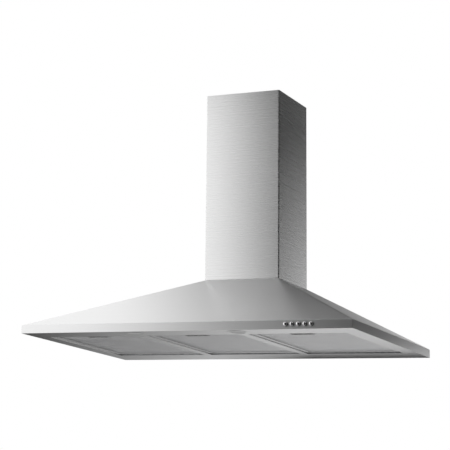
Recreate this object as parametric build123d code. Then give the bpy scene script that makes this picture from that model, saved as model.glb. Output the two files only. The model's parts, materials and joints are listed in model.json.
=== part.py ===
from build123d import *
import os
from math import cos, hypot, pi, radians, sin

# Chimney range hood, in millimetres. X runs to the right, +Y to the wall, +Z up.
# The origin is on the wall plane, at the middle of the canopy's lower back edge.

# Canopy
HOOD_WIDTH = 900.0
HOOD_DEPTH = 520.0
RIM_HEIGHT = 21.0
PYRAMID_RISE = 165.0
SHEET = 1.0
SEAT_GAP = 0.2
COLLAR_HEIGHT = 13.0
CHIMNEY_GAP = 0.3

# Chimney sections
CHIMNEY_WIDTH = 215.0
CHIMNEY_DEPTH = 180.0
CHIMNEY_HEIGHT = 505.0
CHIMNEY_BACK_FLANGE = 16.0
SLIDE_GAP = 0.5
UPPER_SET_DOWN = 2.0
UPPER_FOOT_GAP = 10.0

# Wall fixings
HANG_HOLE_R = 4.5
HANG_SPACING_X = 300.0
HANG_SPACING_Z = 60.0
HANG_CENTRE_Z = 90.0
BRACKET_HEIGHT = 40.0
BRACKET_SHEET = 2.0
BRACKET_HOLE_R = 3.0
BRACKET_HOLE_SPACING = 120.0
BRACKET_FROM_TOP = 30.0

# Underside panel and grease filters
SIDE_STRIP = 38.0
FRONT_STRIP = 70.0
BACK_STRIP = 90.0
DIVIDER = 19.0
FILTER_COUNT = 3
FILTER_GAP = 1.0
OPENING_EDGE_HEIGHT = 14.0
FILTER_RECESS = 2.5
FILTER_THICKNESS = 9.0
FILTER_BORDER = 12.0
FILTER_SHEET = 0.8
FILTER_FRONT_GAP = 1.5
MESH_GAP = 0.1
MESH_SHEET = 0.5
MESH_LAYERS = 3

# Filter hooks: a round bar on each filter lies in open eyes on the rail
HOOK_BAR_R = 2.0
HOOK_RUNNING_GAP = 0.08
HOOK_EYE_WALL = 1.3
HOOK_EYE_WIDTH = 8.0
HOOK_SIDE_GAP = 0.5
HOOK_TONGUE_WIDTH = 22.0
HOOK_TONGUE_THICKNESS = 2.4
HOOK_FROM_SIDE = 44.0
HOOK_AXIS_FROM_EDGE = 8.0
HOOK_AXIS_TO_FILTER = 4.0

# Filter latch
POCKET_WIDTH = 62.0
POCKET_FROM_FRONT = 10.0
LATCH_WIDTH = 40.0
LATCH_LENGTH = 11.0
LATCH_SHEET = 1.5
LATCH_LIP = 4.5
LATCH_BOLT_WIDTH = 12.0
LATCH_BOLT_REACH = 1.2
LATCH_TRAVEL = 6.0
LATCH_GAP = 0.3
LATCH_SPRING_R = 2.0
LATCH_SPRING_WIRE = 0.35
LATCH_SPRING_TURNS = 6
LATCH_SPRING_CLOSED = 7.1

# Push buttons
BUTTON_COUNT = 5
BUTTON_R = 4.9
BUTTON_PITCH = 16.3
BUTTONS_FROM_SIDE = 135.0
BUTTON_ABOVE_MIDDLE = 0.8
BUTTON_PROUD = 5.5
BUTTON_TRAVEL = 3.0
BUTTON_CAP_LENGTH = 10.0
BUTTON_STEM_R = 2.2
BUTTON_STEM_LENGTH = 14.0
BUTTON_GAP = 0.3
BUTTON_STEM_GAP = 0.1
BUTTON_DOME = 1.6
BUTTON_EDGE_GAP = 1.4
SWITCH_MARGIN = 9.5
SWITCH_DEPTH = 26.0
SWITCH_BELOW_RIM_TOP = 2.1
SWITCH_EAR_GAP = 1.3
BUTTON_SPRING_R = 3.4
BUTTON_SPRING_WIRE = 0.3
BUTTON_SPRING_TURNS = 5
BUTTON_SPRING_CLOSED = 6.5

# Lamps
LAMP_HOLE_R = 23.0
LAMP_FLANGE = 3.0
LAMP_RING_WALL = 4.0
LAMP_BEZEL_PROUD = 0.8
LAMP_LENS_THICKNESS = 2.0
LAMP_BODY_HEIGHT = 11.0
LAMP_GAP = 0.2

# Blower
BLOWER_Z = 165.0
SCROLL_FRONT_GAP = 19.5
SCROLL_BACK_GAP = 11.0
SCROLL_GROWTH = 14.0
SCROLL_STEPS = 12
SCROLL_HALF_WIDTH = 50.0
SCROLL_WALL = 2.0
NECK_INSET = 4.0
NECK_RISE = 107.0
INLET_LIP = 5.0
IMPELLER_GAP = 7.0
IMPELLER_SIDE_GAP = 8.0
IMPELLER_BLADES = 24
BLADE_DEPTH = 9.0
BLADE_THICKNESS = 1.2
BLADE_ANGLE = 35.0
IMPELLER_PLATE = 2.5
HUB_R = 9.0
HUB_LENGTH = 14.0
SHAFT_R = 4.0
SHAFT_RUNNING_GAP = 0.05
SHAFT_PRESS_GAP = 0.02
SHAFT_LENGTH = 48.0
MOTOR_AIR_GAP = 14.0
MOTOR_NEAR_X = 9.0
MOTOR_LENGTH = 45.0
MOTOR_EDGE = 3.0
MOTOR_ARM_WIDTH = 14.0
MOTOR_ARM_SHEET = 2.0
MOTOR_ARMS = 3
MOTOR_ARM_START = 30.0
MOTOR_ARM_FOOT = 12.0
BLOWER_BRACKET_HEIGHT = 60.0
BLOWER_BRACKET_FOOT = 24.0
BLOWER_BRACKET_REACH = 44.0
BLOWER_BRACKET_DROP = 20.0
SCREW_R = 2.0
SCREW_HEAD_R = 3.8
SCREW_HEAD_HEIGHT = 2.2

# Outlet collar and non-return flaps
COLLAR_R = 60.0
COLLAR_WALL = 2.0
COLLAR_PLATE = 3.0
COLLAR_FLANGE = 2.0
COLLAR_LENGTH = 52.0
FLAP_HEIGHT = 30.0
FLAP_GAP = 1.5
FLAP_THICKNESS = 1.2
FLAP_ROD_R = 1.5
FLAP_KNUCKLE_R = 3.2
FLAP_KNUCKLE_LENGTH = 20.0
FLAP_KNUCKLE_STARTS = (-45.0, 5.0)
FLAP_RUNNING_GAP = 0.08
FLAP_LEDGE = 2.5

# Electrics
BOX_FROM_HANG_HOLE = 15.0
BOX_Z = 30.0
BOX_WIDTH = 100.0
BOX_DEPTH = 38.0
BOX_HEIGHT = 50.0
BOX_WALL = 2.0
TERMINAL_WIDTH = 44.0
TERMINAL_DEPTH = 16.0
TERMINAL_HEIGHT = 18.0
TERMINAL_WAYS = 4
CAPACITOR_R = 11.0
CAPACITOR_LENGTH = 38.0
GLAND_R = 9.0
GLAND_BORE_R = 4.0
GLAND_NECK_R = 6.0
GLAND_LENGTH = 16.0
GLAND_FROM_SIDE = 60.0

# Derived places
RIM_HALF = HOOD_WIDTH / 2
CHIMNEY_HALF = CHIMNEY_WIDTH / 2
CANOPY_TOP = RIM_HEIGHT + PYRAMID_RISE
HOOD_TOP = CANOPY_TOP + CHIMNEY_HEIGHT
FIELD_HALF = RIM_HALF - SIDE_STRIP
FIELD_FRONT = -HOOD_DEPTH + FRONT_STRIP
FIELD_BACK = -BACK_STRIP
OPENING_WIDTH = (2 * FIELD_HALF - (FILTER_COUNT - 1) * DIVIDER) / FILTER_COUNT
FILTER_WIDTH = OPENING_WIDTH - 2 * (SHEET + FILTER_GAP)
FILTER_PITCH = OPENING_WIDTH + DIVIDER
HOOK_SPREAD = FILTER_WIDTH - 2 * HOOK_FROM_SIDE
HOOK_Y = FIELD_BACK - SHEET - HOOK_AXIS_FROM_EDGE
HOOK_Z = FILTER_RECESS + FILTER_THICKNESS / 2
FILTER_FRONT = FIELD_FRONT + SHEET + FILTER_FRONT_GAP
FILTER_BACK = HOOK_Y - HOOK_AXIS_TO_FILTER
FILTER_TOP = FILTER_RECESS + FILTER_THICKNESS
POCKET_FRONT = FILTER_FRONT + POCKET_FROM_FRONT
LATCH_FRONT = POCKET_FRONT + FILTER_SHEET + LATCH_GAP
LATCH_TOP = FILTER_TOP - FILTER_SHEET - LATCH_GAP
LATCH_REST_BACK = LATCH_FRONT + LATCH_LENGTH
POCKET_BACK = LATCH_REST_BACK + LATCH_TRAVEL + LATCH_SPRING_CLOSED + FILTER_SHEET
SCROLL_SPAN = CHIMNEY_DEPTH - 3 * SHEET - SLIDE_GAP - SCROLL_FRONT_GAP - SCROLL_BACK_GAP
SCROLL_START_R = (SCROLL_SPAN - SCROLL_GROWTH) / 2
SCROLL_END_R = SCROLL_START_R + SCROLL_GROWTH
BLOWER_Y = -SHEET - SCROLL_BACK_GAP - SCROLL_END_R
NECK_HALF_DEPTH = SCROLL_START_R - NECK_INSET
NECK_TOP_Z = BLOWER_Z + NECK_RISE
IMPELLER_R = SCROLL_START_R - IMPELLER_GAP
IMPELLER_HALF_WIDTH = SCROLL_HALF_WIDTH - SCROLL_WALL - IMPELLER_SIDE_GAP
INLET_R = IMPELLER_R - BLADE_DEPTH
MOTOR_R = INLET_R - MOTOR_AIR_GAP
COLLAR_BASE = NECK_TOP_Z + COLLAR_PLATE
FLAP_Z = COLLAR_BASE + FLAP_HEIGHT
FLAP_R = COLLAR_R - COLLAR_WALL - FLAP_GAP
LAMP_X = FILTER_PITCH / 2
LAMP_Y = -HOOD_DEPTH + FRONT_STRIP / 2
LAMP_BEZEL_R = LAMP_HOLE_R + LAMP_FLANGE
LAMP_LENS_R = LAMP_HOLE_R - LAMP_RING_WALL
BUTTON_GROUP_X = RIM_HALF - BUTTONS_FROM_SIDE
BUTTON_Z = RIM_HEIGHT / 2 + BUTTON_ABOVE_MIDDLE
PANEL_EDGE_HEIGHT = BUTTON_Z - BUTTON_R - BUTTON_EDGE_GAP
BUTTON_FACE_Y = -HOOD_DEPTH - BUTTON_PROUD
BUTTON_CAP_BACK = BUTTON_FACE_Y + BUTTON_CAP_LENGTH
SWITCH_FRONT = -HOOD_DEPTH + SHEET
SWITCH_HALF = (BUTTON_COUNT - 1) * BUTTON_PITCH / 2 + SWITCH_MARGIN
SWITCH_TOP = RIM_HEIGHT - SWITCH_BELOW_RIM_TOP
BUTTON_BORE_BACK = BUTTON_CAP_BACK + BUTTON_TRAVEL + BUTTON_SPRING_CLOSED
BOX_X = HANG_SPACING_X / 2 + BOX_FROM_HANG_HOLE
MOTOR_FAR_X = MOTOR_NEAR_X + MOTOR_LENGTH
NAMES = ("left", "middle", "right")

os.makedirs("parts", exist_ok=True)


def save(shape, node):
    """Write one sub-part."""
    export_step(shape, f"parts/{node}.step")


def block(x0, x1, y0, y1, z0, z1):
    """A box between two opposite corners."""
    return Pos((x0 + x1) / 2, (y0 + y1) / 2, (z0 + z1) / 2) * Box(x1 - x0, y1 - y0, z1 - z0)


def centred_block(half, x, y0, y1, z0, z1):
    """A box that reaches as far to the left of x as to the right."""
    return block(x - half, x + half, y0, y1, z0, z1)


def rod_x(radius, x0, x1, y, z):
    """A round bar along X."""
    return Pos((x0 + x1) / 2, y, z) * Rot(0, 90, 0) * Cylinder(radius, x1 - x0)


def rod_y(radius, y0, y1, x, z):
    """A round bar along Y."""
    return Pos(x, (y0 + y1) / 2, z) * Rot(90, 0, 0) * Cylinder(radius, y1 - y0)


def rod_z(radius, z0, z1, x, y):
    """A round bar along Z."""
    return Pos(x, y, (z0 + z1) / 2) * Cylinder(radius, z1 - z0)


def plate_section(half, front, back, z):
    """A rectangle at height z, from front to back."""
    return Pos(0, (front + back) / 2, z) * Rectangle(2 * half, back - front)


def coil_y(radius, wire, turns, y0, y1, x, z):
    """A compression spring along Y."""
    lead = (y1 - y0 - 2 * wire) / turns
    path = Helix(lead, y1 - y0 - 2 * wire, radius)
    section = Plane(origin=path @ 0, z_dir=path % 0) * Circle(wire)
    return Pos(x, y0 + wire, z) * Rot(-90, 0, 0) * sweep(section, path=path, is_frenet=True)


# Canopy


def slope_inset(run):
    """Level inset that leaves one sheet thickness square to a sloping wall."""
    return SHEET * hypot(run, PYRAMID_RISE) / PYRAMID_RISE


def inner_crease():
    """Height inside the canopy at which the upright rim meets the slope."""
    run = RIM_HALF - CHIMNEY_HALF
    return RIM_HEIGHT - (slope_inset(run) - SHEET) * PYRAMID_RISE / run


def seat_outline():
    """Half width and front of the chimney seat."""
    return CHIMNEY_HALF - SHEET - CHIMNEY_GAP, -CHIMNEY_DEPTH + SHEET + CHIMNEY_GAP


def canopy_shell():
    """The pyramid and its upright rim, open below, above and towards the wall."""
    rim = block(-RIM_HALF, RIM_HALF, -HOOD_DEPTH, 0, 0, RIM_HEIGHT)
    foot = plate_section(RIM_HALF, -HOOD_DEPTH, 0, RIM_HEIGHT)
    head = plate_section(CHIMNEY_HALF, -CHIMNEY_DEPTH, 0, CANOPY_TOP)
    outside = rim + loft([foot, head], ruled=True)
    inset_x = slope_inset(RIM_HALF - CHIMNEY_HALF)
    inset_y = slope_inset(HOOD_DEPTH - CHIMNEY_DEPTH)
    back = 2 * SHEET
    crease = inner_crease()
    hollow_rim = block(-RIM_HALF + SHEET, RIM_HALF - SHEET, -HOOD_DEPTH + SHEET, back, -SHEET, crease)
    low = plate_section(RIM_HALF - SHEET, -HOOD_DEPTH + SHEET, back, crease)
    high = plate_section(CHIMNEY_HALF - inset_x, -CHIMNEY_DEPTH + inset_y, back, CANOPY_TOP)
    roof = block(-RIM_HALF, RIM_HALF, -HOOD_DEPTH, 2 * back, CANOPY_TOP - SHEET, CANOPY_TOP + SHEET)
    shell = outside - hollow_rim - (loft([low, high], ruled=True) - roof)
    half, front = seat_outline()
    shell -= block(-half, half, front, back, CANOPY_TOP - back, CANOPY_TOP + SHEET)
    for x in button_places():
        shell -= rod_y(BUTTON_R + BUTTON_GAP, -HOOD_DEPTH - SHEET, -HOOD_DEPTH + 2 * SHEET, x, BUTTON_Z)
    return shell


def canopy_side_space(side):
    """All that lies outwards of the hip line between the front and one side."""
    reach = 4 * SHEET
    slant = (HOOD_DEPTH - CHIMNEY_DEPTH) / (RIM_HALF - CHIMNEY_HALF)
    near = CHIMNEY_HALF - reach
    far = RIM_HALF + reach
    near_front = -CHIMNEY_DEPTH + slant * reach
    far_front = -HOOD_DEPTH - slant * reach
    corners = [(near, near_front), (far, far_front), (far, reach), (near, reach)]
    outline = make_face(Polyline([(side * x, y) for x, y in corners], close=True))
    return Pos(0, 0, -SHEET) * extrude(outline, 2 * CANOPY_TOP)


def canopy_side(side):
    """One side panel with its length of rim, welded to the front along the hip."""
    return canopy_shell() & canopy_side_space(side)


def canopy_front():
    """The front panel with its length of rim and the holes of the buttons."""
    return canopy_shell() - canopy_side_space(-1) - canopy_side_space(1)


def chimney_seat():
    """The upright collar on the canopy's top, which the chimney cover fits round."""
    half, front = seat_outline()
    low = CANOPY_TOP - SHEET
    top = CANOPY_TOP + COLLAR_HEIGHT
    seat = block(-half, half, front, -SHEET - CHIMNEY_GAP, low, top)
    return seat - block(-half + SHEET, half - SHEET, front + SHEET, 0, low - SHEET, top + SHEET)


def back_plate():
    """The flat plate at the wall, with the holes that hang the hood."""
    edge = RIM_HALF - SHEET - SEAT_GAP
    inset = slope_inset(RIM_HALF - CHIMNEY_HALF) + SEAT_GAP
    below_top = 2 * SHEET
    top = CANOPY_TOP - below_top
    top_half = CHIMNEY_HALF - inset + (RIM_HALF - CHIMNEY_HALF) * below_top / PYRAMID_RISE
    shoulder = inner_crease()
    corners = [(-edge, 0), (edge, 0), (edge, shoulder), (top_half, top), (-top_half, top), (-edge, shoulder)]
    outline = make_face(Polyline(corners, close=True))
    plate = extrude(Plane.XZ * outline, SHEET)
    for side in (-1, 1):
        for up in (-1, 1):
            x = side * HANG_SPACING_X / 2
            z = HANG_CENTRE_Z + up * HANG_SPACING_Z / 2
            plate -= rod_y(HANG_HOLE_R, -2 * SHEET, SHEET, x, z)
    return plate


# Chimney


def channel(half, front, back, flange, z0, z1):
    """A folded cover: front, two sides and two back flanges."""
    cover = block(-half, half, front, back, z0, z1)
    cover -= centred_block(half - SHEET, 0, front + SHEET, back - SHEET, z0 - SHEET, z1 + SHEET)
    return cover - centred_block(half - flange, 0, back - 2 * SHEET, back + SHEET, z0 - SHEET, z1 + SHEET)


def lower_chimney():
    """The fixed chimney cover that stands on the canopy."""
    return channel(CHIMNEY_HALF, -CHIMNEY_DEPTH, 0, CHIMNEY_BACK_FLANGE, CANOPY_TOP, HOOD_TOP)


def upper_limits():
    """Lowest and highest level of the upper section, pushed right down."""
    return CANOPY_TOP + COLLAR_HEIGHT + UPPER_FOOT_GAP, HOOD_TOP - UPPER_SET_DOWN


def upper_chimney():
    """The cover that slides up inside the lower one."""
    low, top = upper_limits()
    step = SHEET + SLIDE_GAP
    return channel(CHIMNEY_HALF - step, -CHIMNEY_DEPTH + step, -step, CHIMNEY_BACK_FLANGE, low, top)


def bracket_centre():
    """Height of the chimney bracket's holes, and the plane of its back face."""
    return HOOD_TOP - UPPER_SET_DOWN - BRACKET_FROM_TOP, -2 * SHEET - SLIDE_GAP


def chimney_bracket():
    """The strap across the upper section's back flanges, screwed to the wall."""
    z, back = bracket_centre()
    half = CHIMNEY_HALF - 2 * SHEET - SLIDE_GAP - SEAT_GAP
    strap = block(-half, half, back - BRACKET_SHEET, back, z - BRACKET_HEIGHT / 2, z + BRACKET_HEIGHT / 2)
    for side in (-1, 1):
        x = side * BRACKET_HOLE_SPACING / 2
        strap -= rod_y(BRACKET_HOLE_R, back - 2 * BRACKET_SHEET, back + SHEET, x, z)
    return strap


def chimney_bracket_rivets():
    """Rivet heads that hold the strap to the two flanges."""
    z, back = bracket_centre()
    front = back - BRACKET_SHEET
    x = CHIMNEY_HALF - SHEET - SLIDE_GAP - CHIMNEY_BACK_FLANGE / 2
    heads = [rod_y(SCREW_HEAD_R, front - SCREW_HEAD_HEIGHT, front, place, z) for place in (-x, x)]
    return Compound(heads)


# Underside


def filter_centres():
    """X of each filter's middle."""
    first = -(FILTER_COUNT - 1) / 2
    return [(first + i) * FILTER_PITCH for i in range(FILTER_COUNT)]


def panel_outline():
    """Half width, front and back of the underside panel."""
    return RIM_HALF - SHEET - SEAT_GAP, -HOOD_DEPTH + SHEET + SEAT_GAP, -SHEET - SEAT_GAP


def underside_panel():
    """The flat sheet below the canopy, with its filter openings and lamp holes."""
    half, front, back = panel_outline()
    panel = centred_block(half, 0, front, back, 0, SHEET)
    inner = OPENING_WIDTH / 2 - SHEET
    for x in filter_centres():
        panel -= centred_block(inner, x, FIELD_FRONT + SHEET, FIELD_BACK - SHEET, -SHEET, 2 * SHEET)
    for side in (-1, 1):
        panel -= rod_z(LAMP_HOLE_R, -SHEET, 2 * SHEET, side * LAMP_X, LAMP_Y)
    return panel


def upright_edge(half, x, front, back, height):
    """Four upright walls on the panel's sheet."""
    above = SHEET + height
    edge = centred_block(half, x, front, back, SHEET, height)
    return edge - centred_block(half - SHEET, x, front + SHEET, back - SHEET, 0, above)


def panel_flanges():
    """The panel's turned-up edges: one round the outside and one round each opening."""
    half, front, back = panel_outline()
    edges = [upright_edge(half, 0, front, back, PANEL_EDGE_HEIGHT)]
    for x in filter_centres():
        edges.append(upright_edge(OPENING_WIDTH / 2, x, FIELD_FRONT, FIELD_BACK, OPENING_EDGE_HEIGHT))
    return Compound(edges)


def hook_places(x):
    """X of a filter's two hooks."""
    return (x - HOOK_SPREAD / 2, x + HOOK_SPREAD / 2)


def hook_eye(x):
    """One open eye: a ring with its top cut away, and the arm that carries it."""
    bore = HOOK_BAR_R + HOOK_RUNNING_GAP
    outer = bore + HOOK_EYE_WALL
    x0 = x - HOOK_EYE_WIDTH / 2
    x1 = x + HOOK_EYE_WIDTH / 2
    eye = rod_x(outer, x0, x1, HOOK_Y, HOOK_Z)
    eye += block(x0, x1, HOOK_Y, FIELD_BACK - SHEET, HOOK_Z - outer, HOOK_Z - bore + HOOK_EYE_WALL)
    eye -= rod_x(bore, x0 - SHEET, x1 + SHEET, HOOK_Y, HOOK_Z)
    return eye - block(x0 - SHEET, x1 + SHEET, HOOK_Y - bore, HOOK_Y + bore, HOOK_Z, HOOK_Z + 2 * outer)


def eye_places():
    """X of every eye: one at each end of every hook bar."""
    reach = HOOK_TONGUE_WIDTH / 2 + HOOK_SIDE_GAP + HOOK_EYE_WIDTH / 2
    places = []
    for x in filter_centres():
        for hook in hook_places(x):
            places += [hook - reach, hook + reach]
    return places


def filter_hook(x):
    """The eyes for one filter on their strip, against the back of its opening."""
    half = OPENING_WIDTH / 2 - SHEET - SEAT_GAP
    strip = block(x - half, x + half, FIELD_BACK - 2 * SHEET, FIELD_BACK - SHEET, SHEET, OPENING_EDGE_HEIGHT)
    for eye_x in eye_places():
        if abs(eye_x - x) < half:
            strip += hook_eye(eye_x)
    return strip


def filter_hook_rail():
    """The three hook strips."""
    return Compound([filter_hook(x) for x in filter_centres()])


def filter_frame(x):
    """One filter's folded frame with its latch pocket, hook tongues and bars."""
    half = FILTER_WIDTH / 2
    low, top = FILTER_RECESS, FILTER_TOP
    frame = block(x - half, x + half, FILTER_FRONT, FILTER_BACK, low, top)
    wall = FILTER_SHEET
    frame -= centred_block(half - wall, x, FILTER_FRONT + wall, FILTER_BACK - wall, low + wall, top - wall)
    border = FILTER_BORDER
    frame -= centred_block(half - border, x, FILTER_FRONT + border, FILTER_BACK - border, 0, 2 * top)
    pocket = POCKET_WIDTH / 2
    frame += centred_block(pocket, x, POCKET_FRONT, POCKET_BACK, low, top)
    frame -= centred_block(pocket - wall, x, POCKET_FRONT + wall, POCKET_BACK - wall, 0, top - wall)
    bolt = LATCH_BOLT_WIDTH / 2 + LATCH_GAP
    bolt_low = LATCH_TOP - LATCH_SHEET - LATCH_GAP
    bolt_back = POCKET_FRONT + 2 * wall
    frame -= centred_block(bolt, x, FILTER_FRONT - wall, bolt_back, bolt_low, LATCH_TOP + LATCH_GAP)
    reach = HOOK_TONGUE_WIDTH / 2
    thick = HOOK_TONGUE_THICKNESS / 2
    bar = reach + HOOK_SIDE_GAP + HOOK_EYE_WIDTH + HOOK_SIDE_GAP
    for hook in hook_places(x):
        frame += centred_block(reach, hook, FILTER_BACK - wall / 2, HOOK_Y, HOOK_Z - thick, HOOK_Z + thick)
        frame += rod_x(HOOK_BAR_R, hook - bar, hook + bar, HOOK_Y, HOOK_Z)
    return frame


def filter_mesh(x):
    """One filter's layers of mesh, held by their edges in the frame's channel."""
    inset = FILTER_SHEET + MESH_GAP
    half = FILTER_WIDTH / 2 - inset
    room = POCKET_WIDTH / 2 + MESH_GAP
    lowest = FILTER_RECESS + inset
    step = (FILTER_THICKNESS - 2 * inset - MESH_SHEET) / (MESH_LAYERS - 1)
    layers = []
    for i in range(MESH_LAYERS):
        low = lowest + i * step
        layer = centred_block(half, x, FILTER_FRONT + inset, FILTER_BACK - inset, low, low + MESH_SHEET)
        cutout = centred_block(room, x, FILTER_FRONT, POCKET_BACK + MESH_GAP, 0, 2 * FILTER_TOP)
        layers.append(layer - cutout)
    return Compound(layers)


def filter_latch(x):
    """The sliding plate with a finger lip and a bolt towards the front."""
    half = LATCH_WIDTH / 2
    bolt = LATCH_BOLT_WIDTH / 2
    under = LATCH_TOP - LATCH_SHEET
    lip_low = under - LATCH_LIP
    latch = centred_block(half, x, LATCH_FRONT, LATCH_REST_BACK, under, LATCH_TOP)
    latch += centred_block(half, x, LATCH_REST_BACK - LATCH_SHEET, LATCH_REST_BACK, lip_low, LATCH_TOP)
    bolt_front = FILTER_FRONT - LATCH_BOLT_REACH
    return latch + centred_block(bolt, x, bolt_front, LATCH_FRONT + LATCH_SHEET, under, LATCH_TOP)


def latch_spring(x):
    """The coil between the latch lip and the back of the pocket."""
    y0 = LATCH_REST_BACK + SEAT_GAP
    y1 = POCKET_BACK - FILTER_SHEET - SEAT_GAP
    z = LATCH_TOP - LATCH_SPRING_R - 2 * LATCH_SPRING_WIRE
    return coil_y(LATCH_SPRING_R, LATCH_SPRING_WIRE, LATCH_SPRING_TURNS, y0, y1, x, z)


# Push buttons


def button_places():
    """X of each push button."""
    first = BUTTON_GROUP_X - (BUTTON_COUNT - 1) * BUTTON_PITCH / 2
    return [first + i * BUTTON_PITCH for i in range(BUTTON_COUNT)]


def button(x):
    """A domed round cap on its stem."""
    cap = rod_y(BUTTON_R, BUTTON_FACE_Y, BUTTON_CAP_BACK, x, BUTTON_Z)
    front_edge = cap.edges().filter_by(GeomType.CIRCLE).sort_by(Axis.Y)[0]
    cap = fillet(front_edge, BUTTON_DOME)
    return cap + rod_y(BUTTON_STEM_R, BUTTON_CAP_BACK, BUTTON_CAP_BACK + BUTTON_STEM_LENGTH, x, BUTTON_Z)


def switch_block():
    """The block behind the rim that guides the buttons and holds the contacts."""
    low = 2 * (BUTTON_Z + BUTTON_GAP) - SWITCH_TOP
    front = SWITCH_FRONT + SHEET + 2 * SEAT_GAP
    back = front + SWITCH_DEPTH
    body = centred_block(SWITCH_HALF, BUTTON_GROUP_X, front, back, low, SWITCH_TOP)
    ears_low = PANEL_EDGE_HEIGHT + SWITCH_EAR_GAP
    body += centred_block(SWITCH_HALF, BUTTON_GROUP_X, SWITCH_FRONT, front, ears_low, SWITCH_TOP)
    for x in button_places():
        body -= rod_y(BUTTON_R + BUTTON_GAP, SWITCH_FRONT - SHEET, BUTTON_BORE_BACK, x, BUTTON_Z)
        body -= rod_y(BUTTON_STEM_R + BUTTON_STEM_GAP, SWITCH_FRONT, back + SHEET, x, BUTTON_Z)
    return body


def button_spring(x):
    """The coil round a button's stem, behind its cap."""
    y0 = BUTTON_CAP_BACK + SEAT_GAP
    y1 = BUTTON_BORE_BACK - SEAT_GAP
    return coil_y(BUTTON_SPRING_R, BUTTON_SPRING_WIRE, BUTTON_SPRING_TURNS, y0, y1, x, BUTTON_Z)


# Lamps


def lamp_bezel(x):
    """The ring that clips into the panel from below."""
    ring = rod_z(LAMP_BEZEL_R, -LAMP_BEZEL_PROUD, 0, x, LAMP_Y)
    ring += rod_z(LAMP_HOLE_R - LAMP_GAP, 0, SHEET + LAMP_LENS_THICKNESS, x, LAMP_Y)
    return ring - rod_z(LAMP_LENS_R, -SHEET, RIM_HEIGHT, x, LAMP_Y)


def lamp_lens(x):
    """The frosted disc in the ring."""
    return rod_z(LAMP_LENS_R - LAMP_GAP, 0, LAMP_LENS_THICKNESS, x, LAMP_Y)


def lamp_body(x):
    """The light source and its heat sink, seated on the ring's upper edge."""
    low = SHEET + LAMP_LENS_THICKNESS
    body = rod_z(LAMP_HOLE_R - LAMP_GAP, low, low + LAMP_BODY_HEIGHT, x, LAMP_Y)
    return body - rod_z(LAMP_LENS_R - 2 * LAMP_GAP, 0, low + SHEET, x, LAMP_Y)


# Blower


def scroll_outline(inset):
    """The scroll in the YZ plane: a growing curve below, two straight walls above."""
    curve = []
    for i in range(SCROLL_STEPS + 1):
        share = i / SCROLL_STEPS
        radius = SCROLL_START_R + (SCROLL_END_R - SCROLL_START_R) * share - inset
        angle = pi * (1 + share)
        curve.append((BLOWER_Y + radius * cos(angle), BLOWER_Z + radius * sin(angle)))
    neck = NECK_HALF_DEPTH - inset
    corners = [curve[-1], (BLOWER_Y + neck, NECK_TOP_Z), (BLOWER_Y - neck, NECK_TOP_Z), curve[0]]
    return make_face([Spline(curve), Polyline(corners)])


def blower_half(side):
    """One half of the scroll housing, with its inlet mouth."""
    start = Plane.YZ.offset(0)
    half = extrude(start * scroll_outline(0), side * SCROLL_HALF_WIDTH)
    half -= extrude(start * scroll_outline(SCROLL_WALL), side * (SCROLL_HALF_WIDTH - SCROLL_WALL))
    neck = NECK_HALF_DEPTH - SCROLL_WALL
    inner = SCROLL_HALF_WIDTH - SCROLL_WALL
    x0, x1 = sorted((0, side * inner))
    low = NECK_TOP_Z - SCROLL_WALL
    half -= block(x0, x1, BLOWER_Y - neck, BLOWER_Y + neck, low, NECK_TOP_Z + SCROLL_WALL)
    face = side * SCROLL_HALF_WIDTH
    x0, x1 = sorted((face - side * SCROLL_WALL, face + side * INLET_LIP))
    half += rod_x(INLET_R + SCROLL_WALL, x0, x1, BLOWER_Y, BLOWER_Z)
    return half - rod_x(INLET_R, x0 - SCROLL_WALL, x1 + SCROLL_WALL, BLOWER_Y, BLOWER_Z)


def impeller_discs():
    """The drum's middle plate with its hub, and the two rings at the ends of the blades."""
    hub = rod_x(INLET_R + BLADE_THICKNESS, -IMPELLER_PLATE / 2, IMPELLER_PLATE / 2, BLOWER_Y, BLOWER_Z)
    hub += rod_x(HUB_R, -IMPELLER_PLATE / 2, HUB_LENGTH, BLOWER_Y, BLOWER_Z)
    discs = [hub - rod_x(SHAFT_R + SHAFT_PRESS_GAP, -HUB_LENGTH, 2 * HUB_LENGTH, BLOWER_Y, BLOWER_Z)]
    for side in (-1, 1):
        x0, x1 = sorted((side * IMPELLER_HALF_WIDTH, side * (IMPELLER_HALF_WIDTH - IMPELLER_PLATE)))
        ring = rod_x(IMPELLER_R, x0, x1, BLOWER_Y, BLOWER_Z)
        discs.append(ring - rod_x(INLET_R, x0 - SHEET, x1 + SHEET, BLOWER_Y, BLOWER_Z))
    return Compound(discs)


def impeller_blades():
    """The forward blades that run past the plate from ring to ring."""
    middle = (IMPELLER_R + INLET_R) / 2
    width = 2 * (IMPELLER_HALF_WIDTH - IMPELLER_PLATE)
    blade = Box(width, BLADE_DEPTH - 2 * BLADE_THICKNESS, BLADE_THICKNESS)
    blade = Pos(0, middle, 0) * Rot(BLADE_ANGLE, 0, 0) * blade
    turns = [360 * i / IMPELLER_BLADES for i in range(IMPELLER_BLADES)]
    return Compound([Pos(0, BLOWER_Y, BLOWER_Z) * Rot(turn, 0, 0) * blade for turn in turns])


def motor_shaft():
    """The shaft from inside the motor through the drum's hub."""
    return rod_x(SHAFT_R, HUB_LENGTH - SHAFT_LENGTH, HUB_LENGTH, BLOWER_Y, BLOWER_Z)


def motor():
    """The round motor in the left inlet, with the shaft's bore in its end."""
    body = rod_x(MOTOR_R, -MOTOR_FAR_X, -MOTOR_NEAR_X, BLOWER_Y, BLOWER_Z)
    body = chamfer(body.edges().filter_by(GeomType.CIRCLE), MOTOR_EDGE)
    reach = HUB_LENGTH - SHAFT_LENGTH - SEAT_GAP
    return body - rod_x(SHAFT_R + SHAFT_RUNNING_GAP, reach, 0, BLOWER_Y, BLOWER_Z)


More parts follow.
